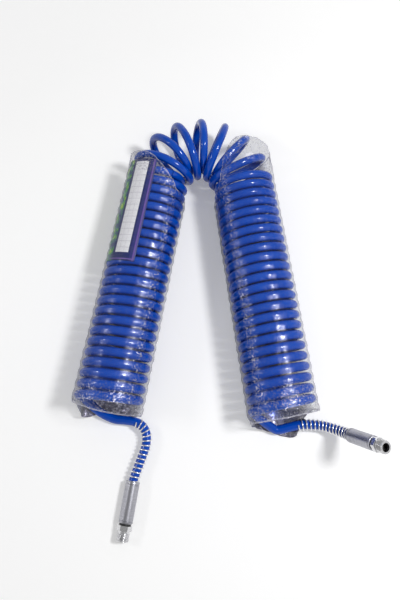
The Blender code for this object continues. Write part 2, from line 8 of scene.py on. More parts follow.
# A recoil air hose: one blue tube wound in a long coil and folded into a U, two clear film sleeves,
# a header card under the left one, and a spring guard, ferrule and swivelling adaptor on each end.
# Metres. Routes are written round the centre of the bend, and bendCentre moves them to the part's place.
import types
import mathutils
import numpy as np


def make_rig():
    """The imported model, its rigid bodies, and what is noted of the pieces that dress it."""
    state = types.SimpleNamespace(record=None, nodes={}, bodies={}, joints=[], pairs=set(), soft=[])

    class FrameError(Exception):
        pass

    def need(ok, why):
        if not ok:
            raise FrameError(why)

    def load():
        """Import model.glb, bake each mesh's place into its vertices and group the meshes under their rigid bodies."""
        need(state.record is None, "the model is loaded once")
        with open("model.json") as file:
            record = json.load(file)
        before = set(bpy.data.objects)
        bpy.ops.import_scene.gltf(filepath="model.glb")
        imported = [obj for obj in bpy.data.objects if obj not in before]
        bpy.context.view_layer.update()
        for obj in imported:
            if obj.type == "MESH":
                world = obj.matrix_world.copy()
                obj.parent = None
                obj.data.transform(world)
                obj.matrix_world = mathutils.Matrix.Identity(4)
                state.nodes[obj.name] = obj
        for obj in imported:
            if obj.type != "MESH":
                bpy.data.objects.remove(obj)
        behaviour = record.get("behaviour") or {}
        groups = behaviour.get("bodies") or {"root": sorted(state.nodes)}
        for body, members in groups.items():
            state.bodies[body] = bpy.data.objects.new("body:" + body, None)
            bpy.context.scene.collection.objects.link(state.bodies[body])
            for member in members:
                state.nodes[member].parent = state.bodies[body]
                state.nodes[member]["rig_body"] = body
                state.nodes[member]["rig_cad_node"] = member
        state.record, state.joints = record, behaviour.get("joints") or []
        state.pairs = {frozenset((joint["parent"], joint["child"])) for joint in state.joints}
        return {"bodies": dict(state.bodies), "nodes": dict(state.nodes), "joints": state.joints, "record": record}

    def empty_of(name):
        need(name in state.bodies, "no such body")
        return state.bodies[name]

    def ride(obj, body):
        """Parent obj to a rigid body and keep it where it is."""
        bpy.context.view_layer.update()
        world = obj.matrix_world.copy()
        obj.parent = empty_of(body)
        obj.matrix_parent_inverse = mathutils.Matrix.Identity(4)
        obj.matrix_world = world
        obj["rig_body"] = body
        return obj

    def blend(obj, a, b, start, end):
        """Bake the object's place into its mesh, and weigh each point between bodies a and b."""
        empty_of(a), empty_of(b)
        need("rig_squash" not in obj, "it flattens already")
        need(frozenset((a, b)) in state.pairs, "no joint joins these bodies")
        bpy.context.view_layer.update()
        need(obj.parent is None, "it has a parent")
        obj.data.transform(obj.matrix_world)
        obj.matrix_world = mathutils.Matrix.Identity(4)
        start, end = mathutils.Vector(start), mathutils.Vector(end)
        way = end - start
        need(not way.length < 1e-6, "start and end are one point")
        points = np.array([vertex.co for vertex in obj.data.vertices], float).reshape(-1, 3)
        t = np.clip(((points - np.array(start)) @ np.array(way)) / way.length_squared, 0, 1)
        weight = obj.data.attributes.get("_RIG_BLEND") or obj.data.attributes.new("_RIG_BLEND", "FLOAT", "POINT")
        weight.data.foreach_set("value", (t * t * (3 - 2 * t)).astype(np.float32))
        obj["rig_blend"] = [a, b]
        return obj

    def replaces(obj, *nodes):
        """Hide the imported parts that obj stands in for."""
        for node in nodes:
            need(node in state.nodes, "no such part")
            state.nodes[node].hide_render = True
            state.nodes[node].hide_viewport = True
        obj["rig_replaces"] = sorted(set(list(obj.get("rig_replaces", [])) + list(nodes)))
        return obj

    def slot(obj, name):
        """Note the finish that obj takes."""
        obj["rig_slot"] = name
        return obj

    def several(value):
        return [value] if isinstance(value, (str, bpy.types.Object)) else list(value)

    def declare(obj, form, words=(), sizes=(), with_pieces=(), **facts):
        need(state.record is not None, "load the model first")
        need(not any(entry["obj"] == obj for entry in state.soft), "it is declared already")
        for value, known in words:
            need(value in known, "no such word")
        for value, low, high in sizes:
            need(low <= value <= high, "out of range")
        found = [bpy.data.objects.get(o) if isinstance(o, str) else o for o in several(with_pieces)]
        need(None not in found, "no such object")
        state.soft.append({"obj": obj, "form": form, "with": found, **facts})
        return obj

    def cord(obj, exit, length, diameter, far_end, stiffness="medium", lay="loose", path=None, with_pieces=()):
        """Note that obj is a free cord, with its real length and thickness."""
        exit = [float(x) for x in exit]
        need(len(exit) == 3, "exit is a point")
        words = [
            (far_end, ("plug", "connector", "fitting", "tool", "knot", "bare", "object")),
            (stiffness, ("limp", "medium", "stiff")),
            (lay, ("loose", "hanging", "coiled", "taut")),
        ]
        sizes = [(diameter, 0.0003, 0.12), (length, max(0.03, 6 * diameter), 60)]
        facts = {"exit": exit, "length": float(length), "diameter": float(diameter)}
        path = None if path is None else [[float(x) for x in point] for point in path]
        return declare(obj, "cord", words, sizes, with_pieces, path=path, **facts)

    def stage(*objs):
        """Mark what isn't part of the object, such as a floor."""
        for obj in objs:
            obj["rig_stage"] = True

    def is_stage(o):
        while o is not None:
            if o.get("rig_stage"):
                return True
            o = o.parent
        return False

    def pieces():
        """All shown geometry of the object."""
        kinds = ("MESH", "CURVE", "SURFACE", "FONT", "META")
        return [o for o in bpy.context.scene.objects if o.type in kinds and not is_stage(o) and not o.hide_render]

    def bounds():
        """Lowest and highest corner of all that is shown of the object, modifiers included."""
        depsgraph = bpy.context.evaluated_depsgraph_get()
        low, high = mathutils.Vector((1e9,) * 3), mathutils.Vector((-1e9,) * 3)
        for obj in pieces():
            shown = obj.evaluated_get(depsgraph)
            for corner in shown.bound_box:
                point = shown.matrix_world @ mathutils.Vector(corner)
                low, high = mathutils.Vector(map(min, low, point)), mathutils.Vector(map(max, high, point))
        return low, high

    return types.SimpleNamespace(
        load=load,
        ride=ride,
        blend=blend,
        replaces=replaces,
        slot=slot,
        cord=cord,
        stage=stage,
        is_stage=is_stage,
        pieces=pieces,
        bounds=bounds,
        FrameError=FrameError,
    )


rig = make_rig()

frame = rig.load()
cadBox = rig.bounds()
bendCentre = Vector((-0.0377, 0.18673, 0))
print("frame loaded")


# the photograph's own camera
camera = {
    "place": Vector((-0.0413, -0.17089, 0.88986)),
    "forward": Vector((0.00414, 0.36861, -0.92957)),
    "turn": math.radians(0.64),
    "roll": math.radians(2.01),
    "lens": 35.894,
    "sensor": 36,
    "shiftUp": -0.1673,
}


def addCamera():
    forward = camera["forward"].normalized()
    right = Vector((math.cos(camera["turn"]), -math.sin(camera["turn"]), 0))
    up = right.cross(forward)
    roll = camera["roll"]
    rolledRight = right * math.cos(roll) + up * math.sin(roll)
    rolledUp = up * math.cos(roll) - right * math.sin(roll)
    data = bpy.data.cameras.new("camera")
    data.sensor_width = camera["sensor"]
    data.lens = camera["lens"]
    data.shift_y = camera["shiftUp"]
    made = bpy.data.objects.new("camera", data)
    turned = Matrix((rolledRight, rolledUp, -forward)).transposed().to_4x4()
    made.matrix_world = Matrix.Translation(camera["place"]) @ turned
    bpy.context.scene.collection.objects.link(made)
    bpy.context.scene.camera = made


addCamera()
print("camera placed")


tube = {
    "width": 0.012,
    "wall": 0.002,
    "sides": 20,
    "tailSides": 24,
    "legSteps": 28,  # in a turn
    "bendSteps": 36,
    "tailStep": 0.002,
    "routeSteps": 24,  # between two points of a tail's route
}

coil = {
    "width": 0.094,
    "height": 0.084,
    "pitch": 0.0141,
    "leftTurns": 27.102,  # from the middle of the bend to the end of each leg
    "rightTurns": 27.398,
    "phase": math.radians(36.7),
    "bendRadius": 0.0657,
    "splay": math.radians(9.0),
    "fanStep": math.radians(21.6),
    "stagger": 0.0054,
    "fade": 1.3,  # turns in which the stagger fades
    "fadeAtEdge": 0.9,  # what is left of it at the edge of the fan
    "floor": 0.0073,  # middle of the tube where it lies on the film
}
coilReach = (coil["width"] - tube["width"]) / 2
coilRise = (coil["height"] - tube["width"]) / 2
coilMiddle = coil["floor"] + coilRise
fanTurns = (math.pi - 2 * coil["splay"]) / coil["fanStep"]


def easedTurns(turn):
    edge = fanTurns / 2 - 0.5
    past = min(max(abs(turn) - edge, 0.0), 1.0)
    return math.copysign(min(abs(turn), edge) + past - past**3 + past**4 / 2, turn)


def alongAxis(turn):
    return coil["pitch"] * turn + (coil["bendRadius"] * coil["fanStep"] - coil["pitch"]) * easedTurns(turn)


def axisFrame(turn):
    # middle of the coil at this turn, and the direction away from the inside of the U
    along = alongAxis(turn)
    half = coil["bendRadius"] * (math.pi / 2 - coil["splay"])
    angle = min(max(along, -half), half) / coil["bendRadius"]
    outward = Vector((math.sin(angle), math.cos(angle), 0))
    onward = Vector((math.cos(angle), -math.sin(angle), 0))
    return outward * coil["bendRadius"] + onward * (along - angle * coil["bendRadius"]), outward


def winding(turn):
    # middle of the tube: a turn starts on the outer side and goes over the top to the inner side
    centre, outward = axisFrame(turn)
    around = 2 * math.pi * turn + coil["phase"]
    fade = min(max((fanTurns / 2 - abs(turn)) / coil["fade"] + coil["fadeAtEdge"], 0.0), 1.0)
    stagger = coil["stagger"] * math.sin(around / 2) ** 3 * fade * fade * (3 - 2 * fade)
    sideways = coilReach * math.cos(around) + stagger
    return centre + outward * sideways + Vector((0, 0, coilMiddle + coilRise * math.sin(around)))


def windingPoints(start, end, steps):
    count = round((end - start) * steps)
    return [winding(start + (end - start) * i / count) for i in range(count + 1)]


def smoothRoute(before, points, after, step):
    # points at even steps along a smooth curve through the given ones
    known = [before, *points, after]
    fine = []
    for previous, start, end, following in zip(known, known[1:], known[2:], known[3:]):
        for i in range(tube["routeSteps"]):
            t = i / tube["routeSteps"]
            pull = (end - previous) * t + (2 * previous - 5 * start + 4 * end - following) * t**2
            fine.append(start + (pull + (3 * start - previous - 3 * end + following) * t**3) / 2)
    fine.append(points[-1])
    length = runLengths(fine)[-1]
    count = max(round(length / step), 1)
    return pointsAt(fine, [length * i / count for i in range(count + 1)])


def runLengths(points):
    lengths = [0.0]
    for a, b in zip(points, points[1:]):
        lengths.append(lengths[-1] + (b - a).length)
    return lengths


def pointsAt(points, places):
    lengths = runLengths(points)
    found, at = [], 0
    for place in places:
        while at < len(points) - 2 and lengths[at + 1] < place:
            at += 1
        share = (place - lengths[at]) / (lengths[at + 1] - lengths[at])
        found.append(points[at].lerp(points[at + 1], min(max(share, 0.0), 1.0)))
    return found


tails = {
    "left": {
        "turn": -coil["leftTurns"],
        "towards": -1,
        "leave": 0.013,  # away from the coil after a fifth of a turn
        "route": [
            (-0.1120, -0.3369, 0.0070),
            (-0.0965, -0.3384, 0.0078),
            (-0.0830, -0.3400, 0.0087),
            (-0.0717, -0.3455, 0.0090),
            (-0.0656, -0.3560, 0.0090),
            (-0.0655, -0.3690, 0.0090),
            (-0.0692, -0.3820, 0.0091),
            (-0.0742, -0.3960, 0.0093),
        ],
        "mouth": Vector((-0.0803, -0.4145, 0.0095)),
        "heading": Vector((-0.1363, -1.0, 0.0)).normalized(),
        "guard": 0.082,  # back along the tail from the mouth of the ferrule
    },
    "right": {
        "turn": coil["rightTurns"],
        "towards": 1,
        "leave": 0.021,
        "route": [
            (0.1160, -0.3462, 0.0074),
            (0.1300, -0.3428, 0.0080),
            (0.1439, -0.3396, 0.0086),
            (0.1570, -0.3386, 0.0089),
            (0.1736, -0.3393, 0.0099),
            (0.1827, -0.3410, 0.0124),
            (0.1909, -0.3434, 0.0169),
            (0.1980, -0.3462, 0.0231),
            (0.2036, -0.3490, 0.0307),
        ],
        "mouth": Vector((0.2077, -0.3513, 0.0394)),
        "heading": Vector((0.3590, -0.1910, 0.9135)).normalized(),
        "guard": 0.080,
    },
}
tubeInFerrule = 0.0431
leaveTurns = (0.06, 0.12, 0.2)  # parts of a turn over which a tail leaves the coil


def tailPoints(tail):
    # it goes on nearly as the winding does at first, then over the ground and into the ferrule
    turn, towards, mouth = tail["turn"], tail["towards"], tail["mouth"]
    onward = (axisFrame(turn + towards)[0] - axisFrame(turn)[0]).normalized()
    path = [winding(turn), winding(turn + towards * leaveTurns[0])]
    for part in leaveTurns[1:]:
        away = onward * tail["leave"] * (part / leaveTurns[-1]) ** 2
        path.append(winding(turn + towards * part) + away)
    path += [*[Vector(point) for point in tail["route"]], mouth]
    inside = mouth + tail["heading"] * tubeInFerrule
    before, after = winding(turn - towards * leaveTurns[0]), mouth + tail["heading"] * 0.012
    free = smoothRoute(before, path, after, tube["tailStep"])
    steps = round(tubeInFerrule / tube["tailStep"])
    return free + [mouth.lerp(inside, i / steps) for i in range(1, steps + 1)]


def placed(points):
    return [point + bendCentre for point in points]


def framesAlong(points):
    # a place, and two directions across it that don't twist
    across, frames = Vector((0, 0, 1)), []
    last = len(points) - 1
    for i, point in enumerate(points):
        along = (points[min(i + 1, last)] - points[max(i - 1, 0)]).normalized()
        across = (across - along * across.dot(along)).normalized()
        frames.append((point, across, along.cross(across)))
    return frames


def mappedGrid(alongSteps, aroundSteps, place, uvSize=(1.0, 1.0)):
    # a grid whose points are carried to place(u, v), with u along the piece and v round it
    shape = bmesh.new()
    layer = shape.loops.layers.uv.new("UVMap")
    bmesh.ops.create_grid(shape, x_segments=alongSteps, y_segments=aroundSteps, size=0.5)
    for face in shape.faces:
        for loop in face.loops:
            u, v = loop.vert.co.x + 0.5, loop.vert.co.y + 0.5
            loop[layer].uv = (u * uvSize[0], v * uvSize[1])
    for vert in shape.verts:
        vert.co = place(vert.co.x + 0.5, vert.co.y + 0.5)
    return shape


def joinSeams(shape, closeEnds=False):
    bmesh.ops.remove_doubles(shape, verts=shape.verts, dist=1e-6)
    openEdges = [edge for edge in shape.edges if edge.is_boundary]
    if closeEnds and openEdges:
        bmesh.ops.holes_fill(shape, edges=openEdges, sides=0)
    bmesh.ops.recalc_face_normals(shape, faces=shape.faces)


def addPiece(name, shape, material, sharpAngle=40):
    mesh = bpy.data.meshes.new(name)
    shape.to_mesh(mesh)
    shape.free()
    mesh.shade_smooth()
    mesh.set_sharp_from_angle(angle=math.radians(sharpAngle))
    mesh.materials.append(material)
    piece = bpy.data.objects.new(name, mesh)
    bpy.context.scene.collection.objects.link(piece)
    return piece


def tubeShape(points, radius, sides, closed=True):
    frames = framesAlong(points)
    steps = len(points) - 1

    def place(u, v):
        point, across, over = frames[round(u * steps)]
        angle = 2 * math.pi * v
        return point + across * radius * math.cos(angle) + over * radius * math.sin(angle)

    shape = mappedGrid(steps, sides, place, (runLengths(points)[-1], 2 * math.pi * radius))
    joinSeams(shape, closed)
    return shape


def addWall(piece, thickness, offset):
    wall = piece.modifiers.new("wall", "SOLIDIFY")
    wall.thickness = thickness
    wall.offset = offset
    wall.use_even_offset = True


def newGroup(name, inputs, outputs):
    group = bpy.data.node_groups.new(name, "ShaderNodeTree")
    for label, kind, value in inputs:
        socket = group.interface.new_socket(name=label, in_out="INPUT", socket_type="NodeSocket" + kind)
        if value is not None:
            socket.default_value = value
    for label, kind in outputs:
        group.interface.new_socket(name=label, in_out="OUTPUT", socket_type="NodeSocket" + kind)
    return group, group.nodes.new("NodeGroupInput"), group.nodes.new("NodeGroupOutput")


def addNode(tree, kind, label="", **values):
    node = tree.nodes.new("ShaderNode" + kind)
    node.label = label
    for name, value in values.items():
        setattr(node, name, value)
    return node


def feed(tree, socket, value):
    # a number or a colour is set on the socket, anything else is linked to it
    if isinstance(value, (int, float)):
        socket.default_value = value
    elif isinstance(value, tuple):
        socket.default_value = (*value, 1.0)
    else:
        tree.links.new(value, socket)


def mathNode(tree, operation, first, second=None):
    node = addNode(tree, "Math", operation=operation)
    for socket, value in zip(node.inputs, (first, second)):
        if value is not None:
            feed(tree, socket, value)
    return node.outputs["Value"]


def addNoise(tree, label, vector, scale, detail, distortion=0.0):
    node = addNode(tree, "TexNoise", label)
    tree.links.new(vector, node.inputs["Vector"])
    feed(tree, node.inputs["Scale"], scale)
    node.inputs["Detail"].default_value = detail
    node.inputs["Distortion"].default_value = distortion
    return node.outputs["Fac"]


def mottleGroup():
    # soft uneven patches and fine specks, for plastic, rubber, card and floor
    group, start, end = newGroup(
        "surfaceMottle",
        [("Vector", "Vector", None), ("Patch Scale", "Float", 40.0), ("Speck Scale", "Float", 900.0)],
        [("Patches", "Float"), ("Specks", "Float")],
    )
    patches = addNoise(group, "patches", start.outputs["Vector"], start.outputs["Patch Scale"], 3.0)
    specks = addNoise(group, "specks", start.outputs["Vector"], start.outputs["Speck Scale"], 2.0)
    group.links.new(patches, end.inputs["Patches"])
    group.links.new(specks, end.inputs["Specks"])
    return group


def grainGroup():
    # fine lines along one direction, as turning, drawing and brushing leave, and larger spots of wear
    group, start, end = newGroup(
        "metalGrain",
        [("Vector", "Vector", None), ("Stretch", "Vector", (1.0, 1.0, 1.0)), ("Wear Scale", "Float", 60.0)],
        [("Grain", "Float"), ("Wear", "Float")],
    )
    stretched = addNode(group, "VectorMath", "stretch", operation="MULTIPLY")
    group.links.new(start.outputs["Vector"], stretched.inputs[0])
    group.links.new(start.outputs["Stretch"], stretched.inputs[1])
    lines = addNoise(group, "lines", stretched.outputs["Vector"], 1.0, 4.0)
    wear = addNoise(group, "wear", start.outputs["Vector"], start.outputs["Wear Scale"], 5.0)
    group.links.new(lines, end.inputs["Grain"])
    group.links.new(wear, end.inputs["Wear"])
    return group


surfaceMottle = mottleGroup()
metalGrain = grainGroup()


def startMaterial(name, color, roughness, metallic=0.0):
    material = bpy.data.materials.new(name)
    material.use_nodes = True
    shader = material.node_tree.nodes["Principled BSDF"]
    shader.inputs["Base Color"].default_value = (*color, 1.0)
    shader.inputs["Roughness"].default_value = roughness
    shader.inputs["Metallic"].default_value = metallic
    return material, material.node_tree, shader


def placeGroup(tree, group, coordinate, values):
    place = addNode(tree, "TexCoord")
    node = addNode(tree, "Group", group.name)
    node.node_tree = group
    tree.links.new(place.outputs[coordinate], node.inputs["Vector"])
    for name, value in values.items():
        node.inputs[name].default_value = value
    return node


def spread(tree, value, low, high, fromLow=0.3, fromHigh=0.7):
    # a value between fromLow and fromHigh, carried to low and high
    node = addNode(tree, "MapRange")
    tree.links.new(value, node.inputs["Value"])
    for name, number in (("From Min", fromLow), ("From Max", fromHigh), ("To Min", low), ("To Max", high)):
        node.inputs[name].default_value = number
    return node.outputs["Result"]


def colorMix(tree, factor, first, second):
    node = addNode(tree, "Mix", data_type="RGBA")
    for name, value in (("Factor", factor), ("A", first), ("B", second)):
        feed(tree, node.inputs[name], value)
    return node.outputs["Result"]


def addBump(tree, shader, height, strength, distance):
    bump = addNode(tree, "Bump")
    bump.inputs["Strength"].default_value = strength
    bump.inputs["Distance"].default_value = distance
    tree.links.new(height, bump.inputs["Height"])
    tree.links.new(bump.outputs["Normal"], shader.inputs["Normal"])


hoseLook = {
    "blue": (0.001, 0.076, 0.52),
    "deepBlue": (0.001, 0.060, 0.44),
    "roughness": (0.09, 0.15),
    "specular": 0.36,
    "scales": {"Patch Scale": 28.0, "Speck Scale": 700.0},
    "bump": (0.05, 0.0003),
}


def hoseMaterial():
    material, tree, shader = startMaterial("hoseBlue", hoseLook["blue"], hoseLook["roughness"][0])
    shader.inputs["Specular IOR Level"].default_value = hoseLook["specular"]
    look = placeGroup(tree, surfaceMottle, "Object", hoseLook["scales"])
    tone = spread(tree, look.outputs["Patches"], 0.0, 1.0)
    tree.links.new(colorMix(tree, tone, hoseLook["blue"], hoseLook["deepBlue"]), shader.inputs["Base Color"])
    tree.links.new(spread(tree, look.outputs["Specks"], *hoseLook["roughness"]), shader.inputs["Roughness"])
    addBump(tree, shader, look.outputs["Specks"], *hoseLook["bump"])
    return material


def addStretch(name, points, material, node):
    piece = addPiece(name, tubeShape(points, tube["width"] / 2, tube["sides"]), material)
    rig.replaces(piece, node)
    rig.slot(piece, "hose_blue")
    return piece


def addHose():
    material = hoseMaterial()
    half = fanTurns / 2
    stretches = (
        ("coilLeft", -coil["leftTurns"], -half, tube["legSteps"], "hose_coil_left"),
        ("loopsOfBend", -half, half, tube["bendSteps"], "hose_bend"),
        ("coilRight", half, coil["rightTurns"], tube["legSteps"], "hose_coil_right"),
    )
    made = {}
    for name, start, end, steps, node in stretches:
        points = placed(windingPoints(start, end, steps))
        made[name] = (addStretch(name, points, material, node), points)
    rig.ride(made["coilLeft"][0], "left_leg")
    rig.ride(made["coilRight"][0], "right_leg")
    foldHeight = coilMiddle
    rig.blend(
        made["loopsOfBend"][0], "left_leg", "right_leg",
        start=(-0.0817, 0.21143, foldHeight), end=(0.0343, 0.21143, foldHeight),
    )
    for piece, points in made.values():
        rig.cord(
            piece, exit=points[0], length=runLengths(points)[-1], diameter=tube["width"],
            far_end="object", stiffness="stiff", lay="coiled", path=points,
        )
    return material


def addTail(side, material):
    points = placed(tailPoints(tails[side]))
    name = "tail" + side.capitalize()
    piece = addPiece(name, tubeShape(points, tube["width"] / 2, tube["tailSides"], closed=False), material)
    addWall(piece, tube["wall"], -1)
    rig.replaces(piece, "hose_tail_" + side)
    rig.slot(piece, "hose_blue")
    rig.ride(piece, side + "_leg")
    return piece, points


hoseBlue = addHose()
print("hose wound")


guard = {
    "wire": 0.002,
    "fit": 0.0002,
    "turns": 15,
    "steps": 26,
    "sides": 10,
    "mouthDepth": 0.0059,  # into the ferrule
    "span": 0.003,  # to each side, for the tube's direction
    "bright": (0.86, 0.86, 0.87),
    "dull": (0.60, 0.60, 0.61),
    "roughness": (0.16, 0.34),
    "grain": {"Stretch": (90.0, 9000.0, 1.0), "Wear Scale": 260.0},
    "bump": (0.10, 0.0001),
}


def springMaterial():
    material, tree, shader = startMaterial("springWire", guard["bright"], guard["roughness"][0], 1.0)
    grain = placeGroup(tree, metalGrain, "UV", guard["grain"])
    worn = spread(tree, grain.outputs["Wear"], 0.0, 1.0, 0.45, 0.75)
    tree.links.new(colorMix(tree, worn, guard["bright"], guard["dull"]), shader.inputs["Base Color"])
    tree.links.new(spread(tree, grain.outputs["Grain"], *guard["roughness"]), shader.inputs["Roughness"])
    addBump(tree, shader, grain.outputs["Grain"], *guard["bump"])
    return material


def guardPoints(points, backFromMouth):
    lengths = runLengths(points)
    mouth = lengths[-1] - tubeInFerrule
    start, end = mouth - backFromMouth, mouth + guard["mouthDepth"]
    steps = guard["turns"] * guard["steps"]
    places = [start + (end - start) * i / steps for i in range(steps + 1)]
    middles = pointsAt(points, places)
    behind = pointsAt(points, [place - guard["span"] for place in places])
    ahead = pointsAt(points, [place + guard["span"] for place in places])
    radius = tube["width"] / 2 + guard["fit"] + guard["wire"] / 2
    across, wire = Vector((0, 0, 1)), []
    for i, middle in enumerate(middles):
        along = (ahead[i] - behind[i]).normalized()
        across = (across - along * across.dot(along)).normalized()
        angle = 2 * math.pi * i / guard["steps"]
        wire.append(middle + (across * math.cos(angle) + along.cross(across) * math.sin(angle)) * radius)
    return wire


def addGuard(side, points, material):
    wire = guardPoints(points, tails[side]["guard"])
    name = "guardSpring" + side.capitalize()
    piece = addPiece(name, tubeShape(wire, guard["wire"] / 2, guard["sides"]), material)
    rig.replaces(piece, "guard_spring_" + side)
    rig.slot(piece, "spring_wire")
    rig.ride(piece, side + "_leg")
    return piece


ferrule = {
    "width": 0.0188, "length": 0.050, "mouthRadius": 0.00842, "mouthDepth": 0.0072, "bore": 0.0063,
    "neck": 0.00485, "flange": 0.003, "edge": 0.0007,
    "grooveDepth": 0.0004, "grooveWidth": 0.0012, "grooveInset": 0.0026,
}
washer = {
    "inner": 0.00485, "outer": 0.0078, "from": 0.05025, "to": 0.05235, "edge": 0.0003, "steps": 64,
    "black": (0.010, 0.010, 0.011), "rubbed": (0.028, 0.028, 0.030), "roughness": (0.42, 0.62),
    "scales": {"Patch Scale": 120.0, "Speck Scale": 1800.0}, "bump": (0.2, 0.0002),
}
adaptor = {
    "start": 0.0526, "flats": 0.017, "hexLength": 0.0062,
    "chamfer": 0.0008, "chamferSlope": 0.58, "cornerInset": 0.0015,
    "relief": 0.0016, "reliefDepth": 0.0010,
    "thread": 0.01666, "threadLength": 0.0108, "threadPitch": 0.001337, "threadDepth": 0.00072,
    "threadRows": 8,  # in one pitch
    "runOut": 0.8,  # of a pitch, at each end of the thread
    "flat": 0.12,  # of half a pitch, on the crest and in the root
    "bore": 0.0078, "cone": 0.0108, "coneDepth": 0.0022, "socket": 0.00485, "socketEnd": 0.0629,
}
turnedSteps = 96  # round a ferrule or an adaptor
mapRadius = 0.009
boreShift = 0.2  # faces that look towards the axis lie this much further along the map
# painted shade: faces inside the bores take a near-black colour that stands in for the shade deep inside them
paintedBoreShade = (0.035, 0.035, 0.038)


def turnedShape(profile, steps):
    shape = bmesh.new()
    ring = [shape.verts.new((radius, 0, height)) for radius, height in profile]
    edges = [shape.edges.new(pair) for pair in zip(ring, ring[1:] + ring[:1])]
    bmesh.ops.spin(
        shape, geom=ring + edges, cent=(0, 0, 0), axis=(0, 0, 1),
        angle=2 * math.pi, steps=steps, use_merge=True,
    )
    joinSeams(shape)
    return shape


def softenEdges(shape, offset, segments=2, least=40):
    sharp = [
        edge for edge in shape.edges
        if len(edge.link_faces) == 2 and edge.calc_face_angle(0) > math.radians(least)
    ]
    bmesh.ops.bevel(
        shape, geom=sharp, offset=offset, offset_type="OFFSET", segments=segments, profile=0.5,
        affect="EDGES", clamp_overlap=True, material=-1,
    )


def turnedUv(shape):
    # u runs round the piece and v along its axis, both in metres
    layer = shape.loops.layers.uv.new("UVMap")
    for face in shape.faces:
        middle = face.calc_center_median()
        facing = math.atan2(middle.y, middle.x)
        for loop in face.loops:
            place = loop.vert.co
            angle = math.atan2(place.y, place.x)
            if angle - facing > math.pi:
                angle -= 2 * math.pi
            elif facing - angle > math.pi:
                angle += 2 * math.pi
            inside = boreShift if face.normal.x * middle.x + face.normal.y * middle.y < -1e-6 else 0
            loop[layer].uv = (angle * mapRadius, place.z + math.hypot(place.x, place.y) + inside)


def onAxis(shape, tail):
    turned = tail["heading"].to_track_quat("Z", "Y").to_matrix().to_4x4()
    matrix = Matrix.Translation(tail["mouth"] + bendCentre) @ turned
    bmesh.ops.transform(shape, matrix=matrix, verts=shape.verts)


def ferruleShape():
    outside, edge = ferrule["width"] / 2, ferrule["edge"]
    length, depth = ferrule["length"], ferrule["grooveDepth"]
    wide = ferrule["grooveWidth"]
    profile = [(ferrule["mouthRadius"], 0), (outside - edge, 0)]
    profile += [(outside - edge * 0.3, edge * 0.3), (outside, edge)]
    for place in (ferrule["grooveInset"], length - ferrule["grooveInset"] - wide):
        profile += [(outside, place), (outside - depth, place + wide * 0.3)]
        profile += [(outside - depth, place + wide * 0.7), (outside, place + wide)]
    profile += [(outside, length - edge), (outside - edge * 0.3, length - edge * 0.3)]
    profile += [(outside - edge, length)]
    profile += [(ferrule["neck"], length), (ferrule["neck"], length - ferrule["flange"])]
    profile += [(ferrule["bore"], length - ferrule["flange"]), (ferrule["bore"], ferrule["mouthDepth"])]
    profile += [(ferrule["mouthRadius"], ferrule["mouthDepth"])]
    return turnedShape(profile, turnedSteps)


def washerShape():
    inner, outer, near, far = washer["inner"], washer["outer"], washer["from"], washer["to"]
    shape = turnedShape([(inner, near), (outer, near), (outer, far), (inner, far)], washer["steps"])
    softenEdges(shape, washer["edge"])
    return shape


def adaptorShape():
    start, chamfer, inset = adaptor["start"], adaptor["chamfer"], adaptor["cornerInset"]
    slope = chamfer * adaptor["chamferSlope"]
    hexEnd = start + adaptor["hexLength"]
    threadStart = hexEnd + adaptor["relief"]
    end = threadStart + adaptor["threadLength"]
    corner = adaptor["flats"] / math.cos(math.pi / 6) / 2 + 0.0001
    thread, depth = adaptor["thread"] / 2, adaptor["threadDepth"]
    relief = thread - adaptor["reliefDepth"]
    profile = [(adaptor["socket"], start)]
    profile += [(corner - chamfer * share, start + slope * (1 - share)) for share in (1, 0.66, 0.33, 0)]
    profile += [(corner, start + chamfer * 0.6 + inset), (corner, hexEnd - chamfer * 0.6 - inset)]
    profile += [(corner - chamfer * share, hexEnd - slope * (1 - share)) for share in (0, 0.33, 0.66, 1)]
    profile += [(relief, hexEnd), (relief, threadStart - 0.0004)]
    rows = round(adaptor["threadLength"] / adaptor["threadPitch"] * adaptor["threadRows"])
    profile += [(thread, threadStart + adaptor["threadLength"] * i / rows) for i in range(rows)]
    bore, socketEnd = adaptor["bore"] / 2, adaptor["socketEnd"]
    profile += [(thread - depth, end), (adaptor["cone"] / 2, end), (bore, end - adaptor["coneDepth"])]
    profile += [(bore, socketEnd), (adaptor["socket"], socketEnd)]
    shape = turnedShape(profile, turnedSteps)
    for vert in shape.verts:
        radius, angle = math.hypot(vert.co.x, vert.co.y), math.atan2(vert.co.y, vert.co.x)
        wanted = radius
        if vert.co.z < hexEnd + 1e-6 and radius > adaptor["socket"] + 0.001:
            wanted = min(radius, adaptor["flats"] / 2 / math.cos(angle % (math.pi / 3) - math.pi / 6))
        elif vert.co.z > threadStart - 1e-6 and radius > thread - 1e-5:
            turns = (vert.co.z - threadStart) / adaptor["threadPitch"]
            away = abs((turns - angle / (2 * math.pi)) % 1.0 - 0.5) * 2  # 0 in the root, 1 on the crest
            left = adaptor["threadLength"] / adaptor["threadPitch"] - turns
            ends = min(turns / adaptor["runOut"], left / adaptor["runOut"], 1.0)
            flank = (away - adaptor["flat"]) / (1 - 2 * adaptor["flat"])
            crest = min(max(flank, 0.0), 1.0) * max(ends, 0.0)
            wanted = thread - depth * (1 - crest)
        vert.co.x *= wanted / radius
        vert.co.y *= wanted / radius
    return shape


